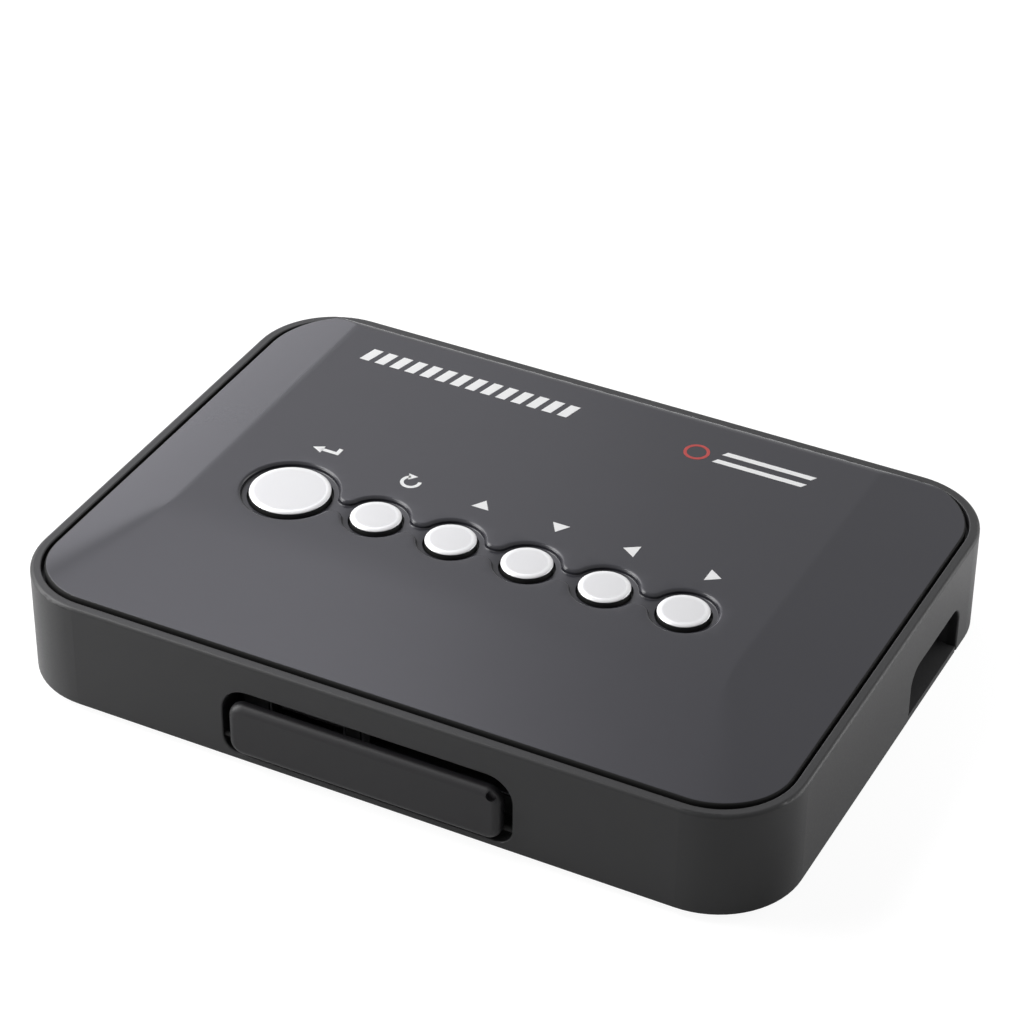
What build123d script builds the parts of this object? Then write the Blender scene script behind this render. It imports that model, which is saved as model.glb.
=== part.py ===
from build123d import *
import os
from math import hypot

# Media player: a low rounded box. Its crowned top panel carries one large and five small keys,
# a drop-down flap covers the front sockets, and a video socket sits in the right wall.
# Millimetres. X runs along the long side, Y to the back, Z up.
# The origin is on the table, under the middle of the case.

# Case, outside
case_length = 130.0
case_depth = 94.5
case_corner_radius = 14.0
rim_height = 18.6
wall = 1.75
rim_edge_radius = 0.6
rim_inner_radius = 0.25
mouth_edge_radius = 0.3
bottom_edge_radius = 0.4

# Top panel: its sides slope down from the plateau to the rim, its front to a small step over the rim
crown_height = 1.7
panel_gap = 0.5
panel_thickness = 2.0
panel_lip = 2.5
left_slope_width = 11.75
right_slope_width = 17.45
side_crease_radius = 10.0
front_slope_width = 27.0
front_edge_step = 0.35
front_crease_radius = 160.0
back_roll_width = 3.0

# Ledges inside the frame that carry the top panel and hold the base plate down
panel_ledge_width = 1.9
panel_ledge_height = 1.5
base_stop_width = 1.3
base_stop_height = 1.2

# Base plate and rubber feet
base_thickness = 2.0
base_recess = 0.3
base_gap = 0.15
foot_height = 1.2
foot_radius = 4.0
foot_edge_radius = 0.4
foot_inset = 17.0
foot_seat_depth = 0.5
foot_seat_gap = 0.05
vent_slot_width = 2.0
vent_slot_length = 16.0
vent_slot_pitch = 4.5
vent_slot_count = 8
vent_row_x = 0.0
vent_row_y = 18.0

# Case screws and the bosses they join
case_screw_inset = 10.5
case_screw_radius = 1.25
case_screw_grip = 7.0
case_screw_head_radius = 2.2
case_screw_head_height = 1.4
case_boss_radius = 2.75
base_boss_height = 3.0
counterbore_depth = 1.7
head_gap = 0.2
shank_gap = 0.15
thread_gap = 0.03
head_rounding = 0.3
drive_slot_width = 0.5
drive_slot_depth = 0.6
drive_slot_rim = 0.8

# Keys
key_row_y = -6.2
enter_key_x = -36.2
first_key_x = -20.6
key_pitch = 13.35
small_key_count = 5
enter_key_radius = 6.6
small_key_radius = 4.12
key_rise = 0.2
key_bevel_width = 0.5
key_bevel_height = 0.25
key_hole_gap = 0.3
key_travel = 0.5
key_well_border = 1.55
key_well_depth = 0.85
key_neck_width = 3.5
key_neck_fillet = 0.9
flange_width = 0.8
flange_thickness = 0.8
flange_play = 0.1
stem_radius = 1.6
stem_length = 0.9

# Push switches under the keys
plunger_radius = 1.7
plunger_rise = 1.0
plunger_insert = 0.8
plunger_gap = 0.05
switch_width = 6.0
switch_height = 3.5
switch_edge = 0.4

# Key board and its posts under the top panel
key_board_thickness = 1.0
key_board_margin = 3.0
key_post_gap = 0.2
key_post_offset_y = 5.5
key_post_radius = 2.2
key_screw_radius = 0.9
key_screw_grip = 4.0
key_screw_head_radius = 1.7
key_screw_head_height = 0.9

# Ribbon between the two boards
ribbon_x = -13.9
ribbon_width = 8.0
ribbon_thickness = 0.3
ribbon_gap = 0.05
ribbon_insert = 1.5
ribbon_bend_radius = 2.0
ribbon_reach = 5.5
connector_width = 10.5
connector_depth = 4.0
connector_height = 1.0

# Main board
socket_floor_gap = 0.2
board_thickness = 1.2
board_end_gap = 0.3
board_back_gap = 1.2
board_front_gap = 0.3
board_notch_gap = 1.2
board_post_radius = 2.5
board_post_inset_side = 15.0
board_post_inset_front = 11.0
board_post_inset_back = 14.0
board_screw_radius = 1.0
board_screw_grip = 4.5
board_screw_head_radius = 1.9
board_screw_head_height = 1.2

# Front recess and the bay behind it
recess_length = 49.2
recess_bottom = 1.2
recess_top = 13.2
recess_top_radius = 4.3
recess_bottom_radius = 2.8
bay_depth = 6.5
bay_wall = 1.3

# Drop-down flap in the recess
flap_side_gap = 1.5
flap_swing_gap = 0.25
flap_top_gap = 1.9
flap_rise = 1.25
flap_thickness = 1.8
flap_corner_radius = 2.4
flap_edge_radius = 1.25
hinge_setback = 0.9
hinge_pin_radius = 0.5
hinge_pin_gap = 0.05
hinge_press_gap = 0.02
hinge_pin_seat = 1.0
hinge_ear_radius = 1.15
hinge_ear_rise = 0.7
hinge_ear_width = 2.6
nail_notch_radius = 0.8
nail_notch_depth = 0.7
nail_notch_inset = 1.4
nail_notch_drop = 0.95

# Sockets at the front
usb_x = -13.6
usb_width = 13.1
usb_height = 5.7
usb_length = 14.0
usb_sheet = 0.35
usb_tongue_width = 11.1
usb_tongue_thickness = 1.8
usb_tongue_setback = 1.5
usb_block_length = 4.0
usb_tongue_drop = 0.6
card_x = 9.4
card_slot_width = 24.4
card_slot_height = 2.3
card_length = 24.0
card_rail_width = 1.1
card_floor = 0.9
card_back_wall = 2.0
card_sheet = 0.3
mouth_gap = 0.2
mouth_setback = 0.1

# Remote receiver and status lamp at the front
receiver_x = 8.0
receiver_width = 6.0
receiver_depth = 3.0
receiver_height = 3.0
receiver_lens_radius = 1.2
lamp_x = -8.0
lamp_width = 3.2
lamp_depth = 3.0
lamp_height = 3.0
lamp_lens_radius = 1.0
lens_rounding = 0.5
window_gap = 0.15

# Video socket in the right wall
port_y = 19.0
port_side_margin = 2.7
port_sill = 1.1
port_top_margin = 1.2
port_corner_radius = 3.0
port_depth = 4.6
port_liner = 1.0
port_sill_setback = 0.15
video_width = 15.0
video_height = 5.6
video_length = 11.4
video_sheet = 0.4
video_chamfer = 1.4
video_tongue_width = 11.0
video_tongue_thickness = 1.2
video_tongue_setback = 1.6
video_block_length = 3.6

# Sockets in the back wall
power_x = 38.0
av_x = 12.0
jack_width = 6.6
jack_height = 5.4
jack_length = 11.0
jack_nose_radius = 2.6
jack_nose_gap = 0.1
jack_nose_setback = 0.2
power_bore_radius = 1.85
power_bore_depth = 9.0
power_pin_radius = 0.6
power_pin_length = 7.5
power_pin_rounding = 0.3
av_bore_radius = 1.8
av_bore_depth = 11.0

# Components on the main board
chip_x = 2.0
chip_y = 22.0
chip_width = 17.0
chip_height = 1.4
chip_dot_radius = 0.6
chip_dot_inset = 1.6
chip_dot_depth = 0.1
pad_width = 15.0
pad_thickness = 0.5
sink_width = 24.0
sink_base_height = 1.5
sink_fin_height = 3.5
sink_fin_width = 1.0
sink_fin_count = 8
memory_width = 9.0
memory_length = 13.0
memory_height = 1.1
memory_gap = 4.0
flash_gap = 2.0
flash_width = 18.0
flash_length = 12.0
flash_height = 1.0
crystal_x = -22.0
crystal_y = 36.0
crystal_length = 11.0
crystal_width = 4.6
crystal_height = 3.4
crystal_rounding = 0.6
power_row_y = 33.0
regulator_width = 6.5
regulator_height = 1.6
coil_width = 7.0
coil_height = 3.6
coil_core_radius = 2.6
coil_groove_width = 0.8
coil_groove_depth = 0.36
capacitor_radius = 3.0
capacitor_height = 5.4
capacitor_base_height = 0.8
capacitor_rounding = 0.5
capacitor_pitch = 8.5
capacitor_edge_gap = 3.0
power_row_gap = 2.0

# Heights that follow from the sizes above
case_bottom = foot_height
rim_top = case_bottom + rim_height
plateau = rim_top + crown_height
ledge_top = rim_top - panel_thickness
base_bottom = case_bottom + base_recess
base_top = base_bottom + base_thickness
boss_joint = base_top + base_boss_height
board_bottom = base_top + socket_floor_gap + max(usb_height, video_height, jack_height)
board_top = board_bottom + board_thickness
panel_underside = plateau - panel_thickness
flange_top = panel_underside - flange_play
flange_bottom = flange_top - flange_thickness
stem_bottom = flange_bottom - stem_length
switch_top = stem_bottom - plunger_rise
key_board_top = switch_top - switch_height
key_board_bottom = key_board_top - key_board_thickness

# Places that follow from the sizes above
half_length = case_length / 2
half_depth = case_depth / 2
wall_front = -half_depth
wall_back = half_depth
bay_back = wall_front + bay_depth
panel_inset = wall + panel_gap
panel_half_length = half_length - panel_inset
panel_half_depth = half_depth - panel_inset
board_half_length = half_length - port_depth - port_liner - board_end_gap
board_front = bay_back + bay_wall + board_front_gap
board_back = wall_back - wall - board_back_gap
port_back = half_length - port_depth
port_width = video_width + 2 * port_side_margin
port_top = board_bottom + port_top_margin
flap_front = wall_front - flap_rise
hinge_y = wall_front + hinge_setback
hinge_over_flap = hinge_ear_radius + hinge_ear_rise
edge_reach = hypot(flap_rise + hinge_setback - flap_edge_radius, hinge_over_flap - flap_edge_radius)
hinge_z = case_bottom + recess_bottom + edge_reach + flap_edge_radius + flap_swing_gap
flap_bottom = hinge_z - hinge_over_flap
flap_top = case_bottom + recess_top - flap_top_gap
jack_back = wall_back - wall - base_stop_width - base_gap
jack_z = board_bottom - jack_height / 2
small_key_xs = [first_key_x + i * key_pitch for i in range(small_key_count)]
last_key_x = small_key_xs[-1]
key_names = ["back", "up", "down", "left", "right"]
case_screw_places = [(sx * (half_length - case_screw_inset), sy * (half_depth - case_screw_inset))
                     for sx in (-1, 1) for sy in (-1, 1)]
key_post_reach = flange_width + key_post_gap + key_post_radius
left_post_x = enter_key_x - enter_key_radius - key_post_reach
right_post_x = last_key_x + small_key_radius + key_post_reach
key_post_places = [(x, key_row_y + sy * key_post_offset_y)
                   for x in (left_post_x, right_post_x) for sy in (-1, 1)]
board_post_places = [(sx * (board_half_length - board_post_inset_side), y)
                     for sx in (-1, 1)
                     for y in (board_front + board_post_inset_front, board_back - board_post_inset_back)]

# How far cutting tools run past the faces that they cut
past = 5.0


# Building blocks

def block(x0, x1, y0, y1, z0, z1):
    """Box between two corners."""
    return Pos((x0 + x1) / 2, (y0 + y1) / 2, (z0 + z1) / 2) * Box(x1 - x0, y1 - y0, z1 - z0)


def post(x, y, z0, z1, radius):
    """Upright cylinder."""
    return Pos(x, y, (z0 + z1) / 2) * Cylinder(radius, z1 - z0)


def rod_x(x0, x1, y, z, radius):
    """Cylinder lying along X."""
    return Pos((x0 + x1) / 2, y, z) * Rot(0, 90, 0) * Cylinder(radius, x1 - x0)


def rod_y(x, y0, y1, z, radius):
    """Cylinder lying along Y."""
    return Pos(x, (y0 + y1) / 2, z) * Rot(90, 0, 0) * Cylinder(radius, y1 - y0)


def along_x(sketch, x0, x1):
    """Sketch drawn in Y and Z, extruded between two X planes."""
    return extrude(Plane.YZ.offset(x0) * sketch, x1 - x0)


def along_y(sketch, y0, y1):
    """Sketch drawn in X and Z, extruded between two Y planes."""
    return extrude(Plane.XZ.offset(-y0) * sketch, y0 - y1)


def rounded_prism(inset, z0, z1):
    """Upright prism on the case's plan, drawn in by an inset."""
    plan = RectangleRounded(case_length - 2 * inset, case_depth - 2 * inset, case_corner_radius - inset)
    return extrude(Pos(0, 0, z0) * plan, z1 - z0)


def ring(inset, width, z0, z1):
    """Band that follows the case's plan."""
    return rounded_prism(inset, z0, z1) - rounded_prism(inset + width, z0 - past, z1 + past)


def rounded_opening(centre, width, bottom, top, bottom_radius, top_radius):
    """Upright rectangle in a wall with its own radius at the bottom and top corners."""
    shape = Pos(centre, (bottom + top) / 2) * Rectangle(width, top - bottom)
    if bottom_radius > 0:
        shape = fillet(shape.vertices().group_by(Axis.Y)[0], bottom_radius)
    return fillet(shape.vertices().group_by(Axis.Y)[-1], top_radius)


def screw(head_radius, head_height, shank_radius, shank_length):
    """Pan head screw, its head on top and its shank down from Z 0, with a cross drive."""
    head = post(0, 0, 0, head_height, head_radius)
    head = fillet(head.edges().group_by(Axis.Z)[-1], head_rounding)
    slot_length = 2 * (head_radius - drive_slot_rim)
    slot = Pos(0, 0, head_height) * Box(slot_length, drive_slot_width, 2 * drive_slot_depth)
    return head + post(0, 0, -shank_length, 0, shank_radius) - slot - Rot(0, 0, 90) * slot


# Top panel

def crown(inset, drop):
    """Solid under the crowned surface, drawn in by an inset and lowered by a drop."""
    low = case_bottom
    top = plateau - drop
    edge = rim_top - drop
    left_z = edge - crown_height / left_slope_width * past
    right_z = edge - crown_height / right_slope_width * past
    front_slope = (crown_height - front_edge_step) / front_slope_width
    side_x = panel_half_length + past
    left_crease_x = -panel_half_length + left_slope_width
    right_crease_x = panel_half_length - right_slope_width
    side_line = FilletPolyline((-side_x, left_z), (left_crease_x, top), (right_crease_x, top),
                               (side_x, right_z), radius=side_crease_radius)
    side_sides = Polyline((side_x, right_z), (side_x, low), (-side_x, low), (-side_x, left_z))
    front_y = -panel_half_depth - past
    front_z = edge + front_edge_step - front_slope * past
    crease_y = -panel_half_depth + front_slope_width
    roll_y = panel_half_depth - back_roll_width
    front_line = FilletPolyline((front_y, front_z), (crease_y, top), (roll_y, top),
                                radius=front_crease_radius)
    roll = TangentArc((roll_y, top), (panel_half_depth, edge), tangent=(1, 0))
    back_y = panel_half_depth + past
    front_sides = Polyline((panel_half_depth, edge), (back_y, edge), (back_y, low), (front_y, low),
                           (front_y, front_z))
    across = along_y(make_face([side_line, side_sides]), -back_y, back_y)
    along = along_x(make_face([front_line, roll, front_sides]), -side_x, side_x)
    return rounded_prism(panel_inset + inset, low, plateau) & across & along


def key_wells():
    """Sunk ground around the keys: a circle for each key, joined by narrow necks."""
    well = Pos(enter_key_x, key_row_y) * Circle(enter_key_radius + key_well_border)
    for x in small_key_xs:
        well += Pos(x, key_row_y) * Circle(small_key_radius + key_well_border)
    middle = (enter_key_x + last_key_x) / 2
    well += Pos(middle, key_row_y) * Rectangle(last_key_x - enter_key_x, key_neck_width)
    small_gap = key_pitch - 2 * (small_key_radius + key_well_border)
    corners = [v for v in well.vertices() if enter_key_x < v.X < last_key_x]
    return fillet(corners, min(key_neck_fillet, small_gap))


def top_cover():
    """Crowned panel with its key wells, key holes and the screw bosses under it."""
    body = crown(0, 0) - block(-half_length, half_length, -half_depth, half_depth, 0, ledge_top)
    body -= crown(panel_lip, panel_thickness)
    solid_below = crown(0, 0)
    for x, y in case_screw_places:
        body += post(x, y, boss_joint, plateau, case_boss_radius) & solid_below
    for x, y in key_post_places:
        body += post(x, y, key_board_top, plateau, key_post_radius) & solid_below
    body -= extrude(Pos(0, 0, plateau - key_well_depth) * key_wells(), past)
    body -= post(enter_key_x, key_row_y, panel_underside - past, plateau + past,
                 enter_key_radius + key_hole_gap)
    for x in small_key_xs:
        body -= post(x, key_row_y, panel_underside - past, plateau + past,
                     small_key_radius + key_hole_gap)
    for x, y in case_screw_places:
        body -= post(x, y, boss_joint, boss_joint + case_screw_grip + shank_gap,
                     case_screw_radius + thread_gap)
    for x, y in key_post_places:
        body -= post(x, y, key_board_top, key_board_top + key_screw_grip + shank_gap,
                     key_screw_radius + thread_gap)
    return body


# Frame

def side_frame():
    """Wall all round the case, with its ledges, the front bay and the openings for the sockets."""
    shell = rounded_prism(0, case_bottom, rim_top)
    shell = fillet(shell.edges().group_by(Axis.Z)[-1], rim_edge_radius)
    shell = fillet(shell.edges().group_by(Axis.Z)[0], bottom_edge_radius)
    shell -= rounded_prism(wall, case_bottom - past, rim_top + past)
    rim = shell.faces().sort_by(Axis.Z)[-1]
    shell = fillet(rim.inner_wires()[0].edges(), rim_inner_radius)
    shell += ring(wall, panel_ledge_width, ledge_top - panel_ledge_height, ledge_top)
    shell += ring(wall, base_stop_width, base_top, base_top + base_stop_height)

    bay_side = recess_length / 2 + bay_wall
    shell += block(-bay_side, bay_side, wall_front + wall / 2, bay_back + bay_wall, case_bottom,
                   case_bottom + recess_top + bay_wall)
    recess = rounded_opening(0, recess_length, case_bottom + recess_bottom, case_bottom + recess_top,
                             recess_bottom_radius, recess_top_radius)
    shell -= along_y(recess, wall_front - past, bay_back)
    front = shell.faces().filter_by(Plane.XZ).sort_by(Axis.Y)[0]
    shell = fillet(front.inner_wires()[0].edges(), mouth_edge_radius)
    usb_mouth = Pos(usb_x, board_bottom - usb_height / 2)
    usb_mouth *= Rectangle(usb_width + 2 * mouth_gap, usb_height + 2 * mouth_gap)
    shell -= along_y(usb_mouth, bay_back - past / 2, bay_back + past)
    card_width = card_slot_width + 2 * (card_rail_width + card_sheet + mouth_gap)
    card_height = card_floor + card_slot_height + card_sheet
    card_mouth = Pos(card_x, board_bottom - card_height / 2)
    card_mouth *= Rectangle(card_width, card_height + 2 * mouth_gap)
    shell -= along_y(card_mouth, bay_back - past / 2, bay_back + past)
    receiver_z = board_top + receiver_height / 2
    shell -= rod_y(receiver_x, bay_back - past / 2, bay_back + past, receiver_z,
                   receiver_lens_radius + window_gap)
    lamp_z = board_top + lamp_height / 2
    shell -= rod_y(lamp_x, bay_back - past / 2, bay_back + past, lamp_z, lamp_lens_radius + window_gap)
    for side in (-1, 1):
        seat_start = side * (recess_length / 2 - flap_side_gap)
        ends = sorted((seat_start, side * (recess_length / 2 + hinge_pin_seat)))
        shell -= rod_x(ends[0], ends[1], hinge_y, hinge_z, hinge_pin_radius + hinge_press_gap)

    port = rounded_opening(port_y, port_width, case_bottom - past, port_top, 0, port_corner_radius)
    shell -= along_x(port, half_length - wall - past, half_length + past)
    mouth = [e for e in shell.edges().filter_by_position(Axis.X, half_length, half_length)
             if abs(e.center().Y - port_y) <= port_width / 2 and e.center().Z > case_bottom + bottom_edge_radius]
    shell = fillet(mouth, mouth_edge_radius)
    liner_side = port_width / 2 + port_liner + base_gap
    shell -= block(half_length - wall - past, half_length - wall, port_y - liner_side, port_y + liner_side,
                   case_bottom, port_top + port_liner + base_gap)
    for x in (power_x, av_x):
        shell -= rod_y(x, wall_back - wall - past, wall_back + past, jack_z, jack_nose_radius + jack_nose_gap)
    return shell


# Base

def base_cover():
    """Base plate with its bosses, board posts, vents, foot seats and the liner of the video port."""
    plate = rounded_prism(wall + base_gap, base_bottom, base_top)
    bay_side = recess_length / 2 + bay_wall + base_gap
    plate -= block(-bay_side, bay_side, wall_front, bay_back + bay_wall + base_gap, 0, base_top + past)
    for x, y in case_screw_places:
        plate += post(x, y, base_top, boss_joint, case_boss_radius)
        plate -= post(x, y, base_bottom, base_bottom + counterbore_depth, case_screw_head_radius + head_gap)
        plate -= post(x, y, base_bottom, boss_joint, case_screw_radius + shank_gap)
    for x, y in board_post_places:
        plate += post(x, y, base_top, board_bottom, board_post_radius)
        plate -= post(x, y, board_bottom - board_screw_grip - shank_gap, board_bottom,
                      board_screw_radius + thread_gap)
    for x, y in foot_places():
        plate -= post(x, y, base_bottom, base_bottom + foot_seat_depth, foot_radius + foot_seat_gap)
    for i in range(vent_slot_count):
        x = vent_row_x + (i - (vent_slot_count - 1) / 2) * vent_slot_pitch
        slot = SlotOverall(vent_slot_length, vent_slot_width, rotation=90)
        plate -= extrude(Pos(x, vent_row_y, base_bottom - past) * slot, base_thickness + 2 * past)

    liner_top = port_top + port_liner
    outer = rounded_opening(port_y, port_width + 2 * port_liner, base_bottom, liner_top, 0,
                            port_corner_radius + port_liner)
    plate += along_x(outer, port_back - port_liner, half_length - wall)
    sill = Pos(port_y, case_bottom + port_sill / 2) * Rectangle(port_width - 2 * base_gap, port_sill)
    plate += along_x(sill, port_back, half_length - port_sill_setback)
    inner = rounded_opening(port_y, port_width, case_bottom + port_sill, port_top, 0,
                            port_corner_radius)
    plate -= along_x(inner, port_back, half_length + past)
    plate -= along_x(video_profile(mouth_gap), port_back - past, port_back + past)
    return plate


def foot_places():
    """Centres of the four feet."""
    return [(sx * (half_length - foot_inset), sy * (half_depth - foot_inset))
            for sx in (-1, 1) for sy in (-1, 1)]


def foot(x, y):
    """Rubber disc, glued into its seat in the base plate."""
    disc = post(x, y, 0, base_bottom + foot_seat_depth, foot_radius)
    return fillet(disc.edges().group_by(Axis.Z)[0], foot_edge_radius)


def case_screws():
    """Screws that pull the base and the top panel together."""
    shank = boss_joint - base_bottom - counterbore_depth + case_screw_grip
    one = screw(case_screw_head_radius, case_screw_head_height, case_screw_radius, shank)
    one = Rot(180, 0, 0) * one
    return Compound([Pos(x, y, base_bottom + counterbore_depth) * one for x, y in case_screw_places])


# Flap

def front_flap():
    """Drop-down cover with rounded front edges, two hinge ears and a nail notch."""
    flap_length = recess_length - 2 * flap_side_gap
    outline = rounded_opening(0, flap_length, flap_bottom, flap_top, flap_corner_radius, flap_corner_radius)
    plate = along_y(outline, flap_front, flap_front + flap_thickness)
    plate = fillet(plate.edges().group_by(Axis.Y)[0], flap_edge_radius)
    ear_end = flap_length / 2 - flap_corner_radius
    for side in (-1, 1):
        ends = sorted((side * ear_end, side * (ear_end - hinge_ear_width)))
        plate += rod_x(ends[0], ends[1], hinge_y, hinge_z, hinge_ear_radius)
        plate -= rod_x(ends[0] - past, ends[1] + past, hinge_y, hinge_z, hinge_pin_radius + hinge_pin_gap)
    notch_x = flap_length / 2 - nail_notch_inset
    plate -= rod_y(notch_x, flap_front - past, flap_front + nail_notch_depth, flap_top - nail_notch_drop,
                   nail_notch_radius)
    return plate


def flap_pin(side):
    """Steel pin, pressed into the bay's side wall, that the flap turns on."""
    seat_end = recess_length / 2 + hinge_pin_seat
    ear_end = recess_length / 2 - flap_side_gap - flap_corner_radius - hinge_ear_width
    ends = sorted((side * seat_end, side * ear_end))
    return rod_x(ends[0], ends[1], hinge_y, hinge_z, hinge_pin_radius)


# Keys and switches

def key(x, radius):
    """Key cap with a bevelled rim, a flange that the panel holds and a stem to its switch."""
    cap = post(x, key_row_y, flange_bottom, plateau + key_rise, radius)
    cap = chamfer(cap.edges().group_by(Axis.Z)[-1], key_bevel_height, key_bevel_width)
    cap += post(x, key_row_y, flange_bottom, flange_top, radius + flange_width)
    return cap + post(x, key_row_y, stem_bottom, flange_bottom, stem_radius)


def plunger(x):
    """Moving button of a push switch."""
    return post(x, key_row_y, switch_top - plunger_insert, stem_bottom, plunger_radius)


def switch(x):
    """Body of a push switch with the well that its plunger moves in."""
    half = switch_width / 2
    body = block(x - half, x + half, key_row_y - half, key_row_y + half, key_board_top, switch_top)
    body = chamfer(body.edges().filter_by(Axis.Z), switch_edge)
    well_depth = plunger_insert + key_travel + shank_gap
    return body - post(x, key_row_y, switch_top - well_depth, switch_top, plunger_radius + plunger_gap)


def key_board():
    """Small circuit board under the keys."""
    reach = key_post_offset_y + key_board_margin
    board = block(left_post_x - key_board_margin, right_post_x + key_board_margin, key_row_y - reach,
                  key_row_y + reach, key_board_bottom, key_board_top)
    for x, y in key_post_places:
        board -= post(x, y, key_board_bottom, key_board_top, key_screw_radius + shank_gap)
    return board


def key_screws():
    """Screws that hold the key board up to its posts."""
    one = Rot(180, 0, 0) * screw(key_screw_head_radius, key_screw_head_height, key_screw_radius,
                                 key_board_thickness + key_screw_grip)
    return Compound([Pos(x, y, key_board_bottom) * one for x, y in key_post_places])


# Ribbon and its connectors

def key_board_edge():
    """Back edge of the key board."""
    return key_row_y + key_post_offset_y + key_board_margin


def connector(y0, y1, z0, mouth_y):
    """Ribbon connector with its slot open towards a mouth."""
    half = connector_width / 2
    body = block(ribbon_x - half, ribbon_x + half, y0, y1, z0, z0 + connector_height)
    slot_half = ribbon_width / 2 + ribbon_gap
    slot_y = sorted((mouth_y, mouth_y + ribbon_insert * (1 if mouth_y == y0 else -1)))
    middle = z0 + connector_height / 2
    slot_rise = ribbon_thickness / 2 + ribbon_gap
    return body - block(ribbon_x - slot_half, ribbon_x + slot_half, slot_y[0], slot_y[1],
                        middle - slot_rise, middle + slot_rise)


def key_connector():
    """Connector under the key board's back edge."""
    edge = key_board_edge()
    return connector(edge - connector_depth, edge, key_board_bottom - connector_height, edge)


def board_connector():
    """Connector on the main board behind the key board."""
    mouth = key_board_edge() + ribbon_reach
    return connector(mouth, mouth + connector_depth, board_top, mouth)


def key_ribbon():
    """Flat cable that steps down from the key board's connector to the main board's."""
    y0 = key_board_edge() - ribbon_insert
    y1 = key_board_edge() + ribbon_reach + ribbon_insert
    z0 = key_board_bottom - connector_height / 2
    z1 = board_top + connector_height / 2
    bend0 = key_board_edge() + ribbon_reach / 3
    bend1 = key_board_edge() + 2 * ribbon_reach / 3
    half = ribbon_thickness / 2
    upper = FilletPolyline((y0, z0 + half), (bend0, z0 + half), (bend1, z1 + half), (y1, z1 + half),
                           radius=ribbon_bend_radius)
    lower = FilletPolyline((y0, z0 - half), (bend0, z0 - half), (bend1, z1 - half), (y1, z1 - half),
                           radius=ribbon_bend_radius)
    ends = [Line((y0, z0 + half), (y0, z0 - half)), Line((y1, z1 + half), (y1, z1 - half))]
    return along_x(make_face([upper, lower] + ends), ribbon_x - ribbon_width / 2, ribbon_x + ribbon_width / 2)


# Main board

def main_board():
    """Main circuit board, notched at its corners for the case bosses."""
    board = block(-board_half_length, board_half_length, board_front, board_back, board_bottom, board_top)
    reach = case_boss_radius + board_notch_gap
    for x, y in case_screw_places:
        sx = 1 if x > 0 else -1
        sy = 1 if y > 0 else -1
        xs = sorted((x - sx * reach, sx * half_length))
        ys = sorted((y - sy * reach, sy * half_depth))
        board -= block(xs[0], xs[1], ys[0], ys[1], board_bottom, board_top)
    for x, y in board_post_places:
        board -= post(x, y, board_bottom, board_top, board_screw_radius + shank_gap)
    return board


def board_screws():
    """Screws that hold the main board on its posts."""
    one = screw(board_screw_head_radius, board_screw_head_height, board_screw_radius,
                board_thickness + board_screw_grip)
    return Compound([Pos(x, y, board_top) * one for x, y in board_post_places])


def main_chip():
    """Main processor."""
    return chip(chip_x, chip_y, chip_width, chip_width, chip_height)


def chip(x, y, width, length, height):
    """Flat package on the main board, with a dot sunk in one corner."""
    left = x - width / 2
    front = y - length / 2
    top = board_top + height
    body = block(left, left + width, front, front + length, board_top, top)
    return body - post(left + chip_dot_inset, front + chip_dot_inset, top - chip_dot_depth, top,
                       chip_dot_radius)


def thermal_pad():
    """Soft pad between the processor and its heat sink."""
    half = pad_width / 2
    low = board_top + chip_height
    return block(chip_x - half, chip_x + half, chip_y - half, chip_y + half, low, low + pad_thickness)


def heat_sink():
    """Finned block over the processor."""
    half = sink_width / 2
    low = board_top + chip_height + pad_thickness
    floor = low + sink_base_height
    body = block(chip_x - half, chip_x + half, chip_y - half, chip_y + half, low, floor)
    step = (sink_width - sink_fin_width) / (sink_fin_count - 1)
    for i in range(sink_fin_count):
        x = chip_x - half + i * step
        body += block(x, x + sink_fin_width, chip_y - half, chip_y + half, floor, floor + sink_fin_height)
    return body


def memory_chip(side):
    """Memory package beside the heat sink."""
    x = chip_x + side * (sink_width / 2 + memory_gap + memory_width / 2)
    return chip(x, chip_y, memory_width, memory_length, memory_height)


def crystal():
    """Clock crystal in its metal can."""
    plan = SlotOverall(crystal_length, crystal_width)
    can = extrude(Pos(crystal_x, crystal_y, board_top) * plan, crystal_height)
    return fillet(can.edges().group_by(Axis.Z)[-1], crystal_rounding)


def capacitor(x, y):
    """Round metal can on its square plastic base."""
    base = block(x - capacitor_radius, x + capacitor_radius, y - capacitor_radius, y + capacitor_radius,
                 board_top, board_top + capacitor_base_height)
    can = post(x, y, board_top + capacitor_base_height, board_top + capacitor_height, capacitor_radius)
    return base + fillet(can.edges().group_by(Axis.Z)[-1], capacitor_rounding)


def power_coil(x):
    """Square choke with its round core showing on top."""
    half = coil_width / 2
    top = board_top + coil_height
    body = block(x - half, x + half, power_row_y - half, power_row_y + half, board_top, top)
    groove = post(x, power_row_y, top - coil_groove_depth, top, coil_core_radius)
    return body - (groove - post(x, power_row_y, board_top, top, coil_core_radius - coil_groove_width))


# Front sockets

def usb_shell():
    """Sheet metal tube of the front data socket."""
    z = board_bottom - usb_height / 2
    tube = Rectangle(usb_width, usb_height) - Rectangle(usb_width - 2 * usb_sheet, usb_height - 2 * usb_sheet)
    start = bay_back + mouth_setback
    return along_y(Pos(usb_x, z) * tube, start, start + usb_length)


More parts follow.
